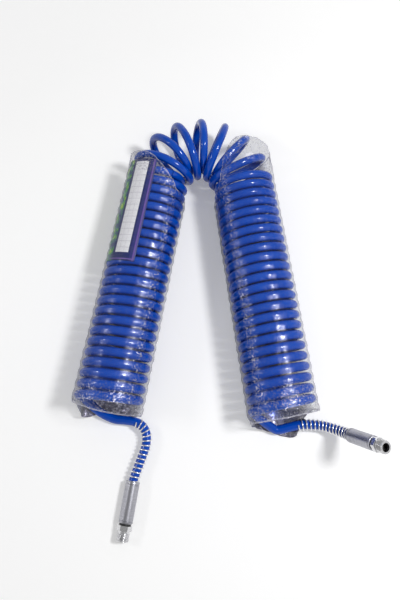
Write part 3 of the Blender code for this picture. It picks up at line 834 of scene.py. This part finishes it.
def turnedMetal(name, bright, dark, roughness, stretch, wearScale, bump, coordinate="UV"):
    material, tree, shader = startMaterial(name, bright, roughness[0], 1.0)
    grain = placeGroup(tree, metalGrain, coordinate, {"Stretch": stretch, "Wear Scale": wearScale})
    tone = spread(tree, grain.outputs["Grain"], 0.0, 1.0, 0.35, 0.65)
    brushed = colorMix(tree, tone, bright, dark)
    worn = spread(tree, grain.outputs["Wear"], 0.0, 0.55, 0.5, 0.8)
    surface = colorMix(tree, worn, brushed, dark)
    if coordinate == "UV":
        parts = addNode(tree, "SeparateXYZ")
        tree.links.new(addNode(tree, "TexCoord").outputs["UV"], parts.inputs["Vector"])
        # faces that look towards the axis get the painted shade colour
        bore = mathNode(tree, "GREATER_THAN", parts.outputs["Y"], boreShift * 0.9)
        surface = colorMix(tree, bore, surface, paintedBoreShade)
    tree.links.new(surface, shader.inputs["Base Color"])
    tree.links.new(spread(tree, grain.outputs["Grain"], *roughness), shader.inputs["Roughness"])
    addBump(tree, shader, grain.outputs["Grain"], bump, 0.0001)
    return material


def rubberMaterial():
    material, tree, shader = startMaterial("washerBlack", washer["black"], washer["roughness"][0])
    look = placeGroup(tree, surfaceMottle, "Object", washer["scales"])
    tone = spread(tree, look.outputs["Patches"], 0.0, 1.0)
    tree.links.new(colorMix(tree, tone, washer["black"], washer["rubbed"]), shader.inputs["Base Color"])
    tree.links.new(spread(tree, look.outputs["Specks"], *washer["roughness"]), shader.inputs["Roughness"])
    addBump(tree, shader, look.outputs["Specks"], *washer["bump"])
    return material


def addFitting(side, metals):
    tail = tails[side]
    title = side.capitalize()
    pieces = (
        ("ferrule", ferruleShape(), "ferrule", "ferrule", "brushed_ferrule", side + "_leg"),
        ("thrustWasher", washerShape(), "washer", "thrust_washer", "washer_black", side + "_leg"),
        ("swivelAdaptor", adaptorShape(), "adaptor", "swivel_adaptor", "plated_adaptor", "adaptor_" + side),
    )
    made = {}
    for name, shape, metal, node, slot, body in pieces:
        turnedUv(shape)
        onAxis(shape, tail)
        piece = addPiece(name + title, shape, metals[metal], 34)
        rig.replaces(piece, f"{node}_{side}")
        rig.slot(piece, slot)
        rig.ride(piece, body)
        made[name] = piece
    for node, metal in (("barbed_stem", "stem"), ("retaining_ring", "ring"), ("swivel_o_ring", "washer")):
        inner = frame["nodes"][f"{node}_{side}"]
        inner.data.materials.clear()
        inner.data.materials.append(metals[metal])
    return made


springSteel = springMaterial()
metalLooks = {
    "ferrule": {
        "name": "brushedFerrule", "bright": (0.51, 0.51, 0.55), "dark": (0.31, 0.31, 0.35),
        "roughness": (0.28, 0.46), "stretch": (70.0, 3200.0, 1.0), "wearScale": 220.0, "bump": 0.7,
    },
    "adaptor": {
        "name": "platedAdaptor", "bright": (0.84, 0.84, 0.85), "dark": (0.58, 0.58, 0.60),
        "roughness": (0.18, 0.34), "stretch": (120.0, 2400.0, 1.0), "wearScale": 320.0, "bump": 0.3,
    },
    "stem": {
        "name": "stemSteel", "bright": (0.58, 0.56, 0.52), "dark": (0.36, 0.35, 0.33),
        "roughness": (0.25, 0.42), "stretch": (900.0, 900.0, 900.0), "wearScale": 320.0, "bump": 0.2,
        "coordinate": "Object",
    },
    "ring": {
        "name": "ringSteel", "bright": (0.42, 0.42, 0.44), "dark": (0.25, 0.25, 0.26),
        "roughness": (0.25, 0.40), "stretch": (900.0, 900.0, 900.0), "wearScale": 320.0, "bump": 0.2,
        "coordinate": "Object",
    },
}
metals = {piece: turnedMetal(**look) for piece, look in metalLooks.items()}
metals["washer"] = rubberMaterial()
for side in ("left", "right"):
    tailPiece, tailRun = addTail(side, hoseBlue)
    guardPiece = addGuard(side, tailRun, springSteel)
    fitting = addFitting(side, metals)
    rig.cord(
        tailPiece, exit=tailRun[0], length=runLengths(tailRun)[-1], diameter=tube["width"],
        far_end="fitting", stiffness="stiff", lay="loose", path=tailRun,
        with_pieces=[guardPiece, fitting["ferrule"], fitting["swivelAdaptor"]],
    )
print("tails, guards and fittings made")


film = {
    "gap": 0.0008,  # off the coil
    "loose": 0.0014,  # more at the two sides
    "dip": 0.0012,  # into the gap between two turns
    "dipOnTop": 0.42,  # of that, where the film lies flatter
    "wall": 0.00012,
    "clear": 0.0068,  # from the middle of any tube
    "waves": (0.0005, 0.00015),  # slow and quick
    "creaseAt": 132,  # degrees round the sleeve
    "crease": 0.0011,
    "flutter": 0.0022,  # where it stands free round the bend
    "droop": (0.08, 0.16),  # of the near end, and more on top
    "fold": 0.15,  # of the near end
    "foldReach": 0.016,
    "lowest": 0.0004,
    "pushes": 12,  # at most, to bring a point clear of the tube
    "mapSize": (0.38, 0.29),  # of the sleeve's own map, along and round
    "alongSteps": 280,
    "aroundSteps": 96,
}
# How far the sleeve reaches past the start of the bend and past the last turn, in millimetres,
# at angles from the outer side over the top to the inner side and on round underneath
filmEdges = {
    "left": {
        "far": [
            (0, 30), (60, 27), (80, 20), (92, 12), (106, 2), (122, -10),
            (140, -25), (180, -32), (225, -26), (270, 4), (315, 24), (360, 30),
        ],
        "near": [
            (0, 9), (50, 14), (90, 16), (140, 15), (180, 12), (225, 14),
            (250, 17), (280, 16), (304, 25), (322, 25), (342, 9), (360, 9),
        ],
        "turns": coil["leftTurns"],
        "seed": 3.0,
    },
    "right": {
        "far": [
            (0, 40), (30, 48), (62, 55), (90, 57), (108, 48), (122, 30), (138, -2),
            (156, -24), (180, -30), (225, -24), (270, 12), (315, 34), (360, 40),
        ],
        "near": [
            (0, 10), (50, 12), (90, 14), (140, 15), (180, 15), (215, 20),
            (248, 28), (270, 36), (292, 38), (304, 22), (330, 9), (360, 10),
        ],
        "turns": coil["rightTurns"],
        "seed": 11.0,
    },
}


def legMatrix(side):
    # a leg's own frame where the bend begins: X to the right, Y towards the bend, Z up
    out = -1 if side == "left" else 1
    onward = Vector((-out * math.sin(coil["splay"]), math.cos(coil["splay"]), 0))
    right = Vector((onward.y, -onward.x, 0))
    turned = Matrix((right, onward, (0, 0, 1))).transposed().to_4x4()
    middle = bendCentre + right * out * coil["bendRadius"] + Vector((0, 0, coilMiddle))
    return Matrix.Translation(middle) @ turned


def legPlace(turn):
    # along a leg's own Y
    return coil["bendRadius"] * (math.pi / 2 - coil["splay"]) - alongAxis(turn)


tableStep = 0.1
tableTurns = [fanTurns / 2 - 1.5 + i * tableStep for i in range(280)]
legTurns = [(legPlace(turn), turn) for turn in tableTurns]


def turnAt(place):
    # the turns that the winding has made when its axis gets here
    low, high = 0, len(legTurns) - 1
    if place >= legTurns[0][0]:
        return legTurns[0][1]
    if place <= legTurns[-1][0]:
        return legTurns[-1][1] + (legTurns[-1][0] - place) / coil["pitch"]
    while high - low > 1:
        middle = (low + high) // 2
        if legTurns[middle][0] >= place:
            low = middle
        else:
            high = middle
    share = (legTurns[low][0] - place) / (legTurns[low][0] - legTurns[high][0])
    return legTurns[low][1] + tableStep * share


def edgeAt(edges, angle):
    # a smooth value between the listed angles, in metres
    degrees = math.degrees(angle) % 360
    known = [(edges[-2][0] - 360, edges[-2][1]), *edges, (edges[1][0] + 360, edges[1][1])]
    for before, start, end, after in zip(known, known[1:], known[2:], known[3:]):
        if start[0] <= degrees <= end[0]:
            span = end[0] - start[0]
            share = (degrees - start[0]) / span
            fromSlope = (end[1] - before[1]) / (end[0] - before[0]) * span
            toSlope = (after[1] - start[1]) / (after[0] - start[0]) * span
            rise = end[1] - start[1]
            curve = (3 * rise - 2 * fromSlope - toSlope) * share**2
            curve += (fromSlope + toSlope - 2 * rise) * share**3
            return (start[1] + fromSlope * share + curve) / 1000
    return edges[-1][1] / 1000


def valley(side, angle, place):
    # 0 on a turn of tube, 1 half way between two turns
    turn = turnAt(place)
    if side == "left":
        passes = (turn * 2 * math.pi - coil["phase"] + angle) / (2 * math.pi)
    else:
        passes = (turn * 2 * math.pi + coil["phase"] - angle) / (2 * math.pi)
    return (1 - math.cos(2 * math.pi * passes)) / 2


def tubeTree():
    steps = 40  # in a turn
    points = []
    for i in range(round((coil["leftTurns"] + coil["rightTurns"]) * steps) + 1):
        points.append(winding(-coil["leftTurns"] + i / steps) + bendCentre)
    for side in ("left", "right"):
        points += placed(tailPoints(tails[side]))
    tree = kdtree.KDTree(len(points))
    for i, point in enumerate(points):
        tree.insert(point, i)
    tree.balance()
    return tree


def waveAt(angle, along, acrossScale, alongScale, seed):
    # smooth noise on the sleeve
    across = (math.cos(angle) * acrossScale, math.sin(angle) * acrossScale)
    return noise.noise(Vector((*across, along * alongScale + seed)))


def filmShape(side, tree):
    edges = filmEdges[side]
    matrix = legMatrix(side)
    sign = -1 if side == "left" else 1
    last = legPlace(edges["turns"])
    wide, tall = coil["width"] / 2, coil["height"] / 2
    seed = edges["seed"]

    def place(u, v):
        angle = 2 * math.pi * v
        far = edgeAt(edges["far"], angle)
        near = last - edgeAt(edges["near"], angle)
        along = near + (far - near) * u
        pastEnd = max(last - 0.002 - along, 0.0)
        beyond = max(along + 0.004, 0.0)
        loose = film["gap"] + film["loose"] * math.cos(angle) ** 2
        onTop = film["dipOnTop"]
        dip = film["dip"] * (onTop + (1 - onTop) * math.cos(angle) ** 2)
        if pastEnd == 0:
            loose -= dip * valley(side, angle, along) * (1 - min(beyond / 0.01, 1))
        around = Vector((math.cos(angle) * 6, math.sin(angle) * 6, along * 38 + seed))
        slow, quick = film["waves"]
        loose += slow * noise.noise(around) + quick * noise.noise(around * 3.1)
        crease = math.degrees(angle) - film["creaseAt"]
        crumple = abs(noise.noise(Vector((along * 260, seed, 0))))
        loose += film["crease"] * math.exp(-((crease / 5) ** 2)) * crumple
        if beyond > 0:
            loose += min(beyond / 0.02, 1) * film["flutter"] * waveAt(angle, along, 9, 90, seed)
        shrink = 1.0
        if pastEnd > 0:
            share = min(pastEnd / film["foldReach"], 1.3)
            fold = waveAt(angle, along, 5.5, 30, seed)
            low = max(-math.sin(angle), 0.0)  # the sleeve stays flat on the floor
            least, more = film["droop"]
            droop = (least + more * (1 + math.sin(angle)) / 2) * (1 - low)
            shrink = 1 - droop * share * share + film["fold"] * share * fold * (1 - 0.8 * low)
        x = (wide + loose) * math.cos(angle) * shrink * sign
        z = (tall + loose) * math.sin(angle) * shrink
        point = matrix @ Vector((x, along, z))
        outward = (matrix.to_3x3() @ Vector((x, 0, z))).normalized()
        for _ in range(film["pushes"]):
            found = tree.find(point)
            if found[2] >= film["clear"]:
                break
            point += outward * (film["clear"] - found[2] + 0.0001)
        point.z = max(point.z, film["lowest"])
        return point

    shape = mappedGrid(film["alongSteps"], film["aroundSteps"], place, film["mapSize"])
    joinSeams(shape)
    return shape


# Shares run along the sleeve from -0.5 at its near end to 0.5,
# and once round it from its outer side over the top
filmLook = {
    "tint": (0.72, 0.72, 0.82),
    "paintedOutlineShade": (0.13, 0.10, 0.11),  # painted shade: a dark brown put into the film's colour where it is seen edge-on, where two walls lie behind each other at the outline
    "foldedTint": (0.05, 0.08, 0.27),  # painted shade: a dark blue put on the film under the coil, so that the gaps between turns look dark
    "mouthShadeTint": (0.22, 0.21, 0.28),  # and a lighter painted shade where it leaves the last turn
    "roughness": (0.16, 0.40),
    "facing": 0.022,  # how much shows seen straight on
    "edge": 0.90,  # and more at a glancing angle
    "edgePower": 4.6,
    "tintPower": 5.0,
    "folded": 0.44,  # and underneath, where the sleeve lies in folds and carries the painted shade
    "hem": 0.34,  # and along the cut edges
    "crumple": 0.45,  # and on the crumpled ridge
    "ridgeAt": 0.368,
    "ridgeWidth": 0.032,
    "underAt": 0.75,
    "underWidth": (0.12, 0.19),
    "rimsFrom": (0.38, 0.46),
    "rimShare": 0.7,
    "hemFrom": (0.494, 0.497),
    "mouthTo": (-0.465, -0.415),
    "blend": 0.35,
    "flecks": (420.0, 3.0),  # scale and detail
    "fleckRange": (0.52, 0.66),
    "creases": (210.0, 4.0, 0.7),
    "bump": (0.24, 0.0006),
}


def filmMaterial():
    look = filmLook
    material, tree, shader = startMaterial("clearFilm", look["tint"], look["roughness"][0], 1.0)
    place = addNode(tree, "TexCoord")
    parts = addNode(tree, "SeparateXYZ")
    tree.links.new(place.outputs["UV"], parts.inputs["Vector"])
    length, girth = film["mapSize"]
    along = mathNode(tree, "SUBTRACT", mathNode(tree, "DIVIDE", parts.outputs["X"], length), 0.5)
    share = mathNode(tree, "DIVIDE", parts.outputs["Y"], girth)
    fromMiddle = mathNode(tree, "ABSOLUTE", along)
    fromRidge = mathNode(tree, "ABSOLUTE", mathNode(tree, "SUBTRACT", share, look["ridgeAt"]))
    fromUnder = mathNode(tree, "ABSOLUTE", mathNode(tree, "SUBTRACT", share, look["underAt"]))

    flecks = addNoise(tree, "crumples", place.outputs["Object"], *look["flecks"])
    flecks = spread(tree, flecks, 0.0, 1.0, *look["fleckRange"])
    creases = addNoise(tree, "creases", place.outputs["Object"], *look["creases"])
    ridge = spread(tree, fromRidge, 1.0, 0.0, 0.0, look["ridgeWidth"])
    rims = spread(tree, fromMiddle, 0.0, look["rimShare"], *look["rimsFrom"])
    crumpled = mathNode(tree, "MULTIPLY", mathNode(tree, "MAXIMUM", ridge, rims), flecks)
    # underneath the coil: the sleeve in folds, and the painted shade on it
    gatheredAndShaded = spread(tree, fromUnder, 1.0, 0.0, *look["underWidth"])
    hem = spread(tree, fromMiddle, 0.0, look["hem"], *look["hemFrom"])

    edge = addNode(tree, "LayerWeight")
    edge.inputs["Blend"].default_value = look["blend"]
    glancing = mathNode(tree, "POWER", edge.outputs["Facing"], look["edgePower"])
    shown = mathNode(tree, "MULTIPLY", glancing, look["edge"])
    shown = mathNode(tree, "ADD", shown, look["facing"])
    shown = mathNode(tree, "ADD", shown, mathNode(tree, "MULTIPLY", crumpled, look["crumple"]))
    shown = mathNode(tree, "ADD", shown, mathNode(tree, "MULTIPLY", gatheredAndShaded, look["folded"]))
    tree.links.new(mathNode(tree, "ADD", shown, hem), shader.inputs["Alpha"])

    # painted shade underneath: dark blue along the coil, lighter grey at the near end
    mouth = spread(tree, along, 1.0, 0.0, *look["mouthTo"])
    underneath = colorMix(tree, mouth, look["foldedTint"], look["mouthShadeTint"])
    wall = colorMix(tree, gatheredAndShaded, look["tint"], underneath)
    # painted shade: the film's colour turns dark brown the more edge-on it is seen
    outline = mathNode(tree, "POWER", edge.outputs["Facing"], look["tintPower"])
    tree.links.new(colorMix(tree, outline, wall, look["paintedOutlineShade"]), shader.inputs["Base Color"])
    tree.links.new(spread(tree, creases, *look["roughness"]), shader.inputs["Roughness"])
    height = mathNode(tree, "ADD", creases, mathNode(tree, "MULTIPLY", crumpled, 3.0))
    addBump(tree, shader, height, *look["bump"])
    return material


def addFilm(side, tree, material):
    piece = addPiece("filmSleeve" + side.capitalize(), filmShape(side, tree), material, 180)
    addWall(piece, film["wall"], 0)
    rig.replaces(piece, "film_sleeve_" + side)
    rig.slot(piece, "clear_film")
    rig.ride(piece, side + "_leg")


card = {
    "near": -0.146,  # along the leg, from where the bend begins
    "far": 0.014,
    "from": -18,  # degrees, from the outer side over the top
    "to": 88,
    "lift": 0.00035,
    "wall": 0.0002,
    "alongSteps": 60,
    "aroundSteps": 32,
}
# Places on the card are shares of its length and of its width
cardPrint = {
    "navy": (0.012, 0.022, 0.14),
    "violet": (0.17, 0.10, 0.40),
    "purple": (0.03, 0.035, 0.20),
    "white": (0.90, 0.90, 0.94),
    "rule": (0.58, 0.57, 0.64),
    "blotches": (
        (0.36, (0.012, 0.035, 0.16, 1)),
        (0.48, (0.01, 0.14, 0.14, 1)),
        (0.56, (0.05, 0.36, 0.04, 1)),
        (0.66, (0.36, 0.55, 0.02, 1)),
    ),
    "blotchStretch": (1.0, 0.45, 1.0),
    "blotchScale": 16.0,
    "navyAcross": (0.54, 0.90),
    "purpleAcross": (0.90, 1.1),
    "lineAcross": (0.95, 0.975),
    "endLineAlong": (0.012, 0.022),
    "endLineAcross": (0.40, 0.975),
    "panelAcross": (0.60, 0.865),
    "panelAlong": (0.076, 0.972),
    "rows": (17.0, 0.13),  # in the card's length, and the share of a row that is its rule
    "columns": (11.3, 0.09),
    "ruled": 0.5,
    "roughness": (0.32, 0.46),
    "scales": {"Patch Scale": 20.0, "Speck Scale": 400.0},
    "bump": (0.08, 0.0002),
}


def cardMaterial():
    look = cardPrint
    material, tree, shader = startMaterial("printedCard", look["navy"], look["roughness"][0])
    uv = addNode(tree, "TexCoord").outputs["UV"]
    parts = addNode(tree, "SeparateXYZ")
    tree.links.new(uv, parts.inputs["Vector"])
    along, across = parts.outputs["X"], parts.outputs["Y"]

    def band(value, edges):
        above = mathNode(tree, "GREATER_THAN", value, edges[0])
        below = mathNode(tree, "LESS_THAN", value, edges[1])
        return mathNode(tree, "MULTIPLY", above, below)

    def rules(value, often):
        spaced = mathNode(tree, "MULTIPLY", value, often[0])
        return mathNode(tree, "LESS_THAN", mathNode(tree, "FRACT", spaced), often[1])

    stretched = addNode(tree, "Mapping")
    stretched.inputs["Scale"].default_value = look["blotchStretch"]
    tree.links.new(uv, stretched.inputs["Vector"])
    blotches = addNoise(tree, "leaf blotches", stretched.outputs["Vector"], look["blotchScale"], 3.0)
    leaves = addNode(tree, "ValToRGB", "blotch colours")
    stops = leaves.color_ramp.elements
    first, *between, last = look["blotches"]
    stops[0].position, stops[0].color = first
    stops[1].position, stops[1].color = last
    for position, shade in between:
        stops.new(position).color = shade
    tree.links.new(blotches, leaves.inputs["Fac"])

    color = colorMix(tree, band(across, look["navyAcross"]), leaves.outputs["Color"], look["navy"])
    color = colorMix(tree, band(across, look["purpleAcross"]), color, look["purple"])
    color = colorMix(tree, band(across, look["lineAcross"]), color, look["violet"])
    endAlong, endAcross = band(along, look["endLineAlong"]), band(across, look["endLineAcross"])
    color = colorMix(tree, mathNode(tree, "MULTIPLY", endAlong, endAcross), color, look["violet"])
    panel = mathNode(tree, "MULTIPLY", band(across, look["panelAcross"]), band(along, look["panelAlong"]))
    rows = rules(along, look["rows"])
    columns = rules(mathNode(tree, "SUBTRACT", across, look["panelAcross"][0]), look["columns"])
    ruled = mathNode(tree, "MULTIPLY", mathNode(tree, "MAXIMUM", rows, columns), look["ruled"])
    sheet = colorMix(tree, ruled, look["white"], look["rule"])
    tree.links.new(colorMix(tree, panel, color, sheet), shader.inputs["Base Color"])
    fibres = placeGroup(tree, surfaceMottle, "UV", look["scales"])
    tree.links.new(spread(tree, fibres.outputs["Patches"], *look["roughness"]), shader.inputs["Roughness"])
    addBump(tree, shader, fibres.outputs["Specks"], *look["bump"])
    return material


def addCard():
    matrix = legMatrix("left")
    wide, tall = coil["width"] / 2 + card["lift"], coil["height"] / 2 + card["lift"]

    def place(u, v):
        angle = math.radians(card["from"] + (card["to"] - card["from"]) * v)
        along = card["near"] + (card["far"] - card["near"]) * u
        return matrix @ Vector((-wide * math.cos(angle), along, tall * math.sin(angle)))

    shape = mappedGrid(card["alongSteps"], card["aroundSteps"], place)
    bmesh.ops.recalc_face_normals(shape, faces=shape.faces)
    piece = addPiece("headerCard", shape, cardMaterial(), 180)
    addWall(piece, card["wall"], 0)
    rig.replaces(piece, "label_card")
    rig.slot(piece, "printed_card")
    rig.ride(piece, "left_leg")


tubeMiddles = tubeTree()
clearFilm = filmMaterial()
for side in ("left", "right"):
    addFilm(side, tubeMiddles, clearFilm)
addCard()
print("film and card made")


studio = {
    "floorSize": 8.0,
    "floorSteps": 48,
    "rimFrom": 2.6,  # from here on the floor rises to a backdrop
    "rimRise": 1.2,
    "floorDrop": 0.0002,
    "floorWhite": 0.88,
    "floorRoughness": (0.55, 0.65),
    "floorGlow": (0.24, 0.62),  # near the object and far from it
    "glowReach": (0.5, 3.0),
    "aim": (0, 0, 0.05),
    "key": {"place": (0.85, 0.05, 1.48), "size": (0.24, 0.26), "power": 16.5},
    "second": {"place": (-1.30, 0.10, 1.05), "size": (0.20, 0.20), "power": 2.8},
    "world": 0.34,
}


def addFloor():
    shape = bmesh.new()
    steps = studio["floorSteps"]
    bmesh.ops.create_grid(shape, x_segments=steps, y_segments=steps, size=studio["floorSize"] / 2)
    for vert in shape.verts:
        past = max(abs(vert.co.x), abs(vert.co.y)) - studio["rimFrom"]
        vert.co.z = studio["rimRise"] * max(past, 0) ** 2 - studio["floorDrop"]
    white = (studio["floorWhite"],) * 3
    material, tree, shader = startMaterial("paleFloor", white, studio["floorRoughness"][0])
    seen = addNode(tree, "LightPath")
    direct = mathNode(tree, "MAXIMUM", seen.outputs["Is Camera Ray"], seen.outputs["Is Glossy Ray"])
    direct = mathNode(tree, "MAXIMUM", direct, seen.outputs["Is Transmission Ray"])
    # not where it is seen through the film
    bare = mathNode(tree, "LESS_THAN", seen.outputs["Transparent Depth"], 0.5)
    direct = mathNode(tree, "MULTIPLY", direct, bare)
    away = addNode(tree, "VectorMath", "distance", operation="LENGTH")
    tree.links.new(addNode(tree, "TexCoord").outputs["Object"], away.inputs[0])
    glow = spread(tree, away.outputs["Value"], *studio["floorGlow"], *studio["glowReach"])
    tree.links.new(mathNode(tree, "MULTIPLY", direct, glow), shader.inputs["Emission Strength"])
    shader.inputs["Emission Color"].default_value = (1, 1, 1, 1)
    look = placeGroup(tree, surfaceMottle, "Object", {"Patch Scale": 3.0, "Speck Scale": 300.0})
    roughness = spread(tree, look.outputs["Specks"], *studio["floorRoughness"])
    tree.links.new(roughness, shader.inputs["Roughness"])
    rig.stage(addPiece("floor", shape, material))


def addLamp(name):
    values = studio[name]
    data = bpy.data.lights.new(name, "AREA")
    data.shape = "RECTANGLE"
    data.size, data.size_y = values["size"]
    data.energy = values["power"]
    lamp = bpy.data.objects.new(name, data)
    lamp.location = values["place"]
    towards = Vector(studio["aim"]) - Vector(values["place"])
    lamp.rotation_euler = towards.to_track_quat("-Z", "Y").to_euler()
    bpy.context.scene.collection.objects.link(lamp)


def addWorld():
    world = bpy.data.worlds.new("studioWorld")
    bpy.context.scene.world = world
    world.use_nodes = True
    background = world.node_tree.nodes["Background"]
    background.inputs["Color"].default_value = (1, 1, 1, 1)
    background.inputs["Strength"].default_value = studio["world"]


addFloor()
addWorld()
addLamp("key")
addLamp("second")
bpy.context.scene.view_settings.view_transform = "Standard"
print("floor and light set")

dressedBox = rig.bounds()
with open("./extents.json", "w") as out:
    json.dump([[list(map(float, corner)) for corner in box] for box in (cadBox, dressedBox)], out)
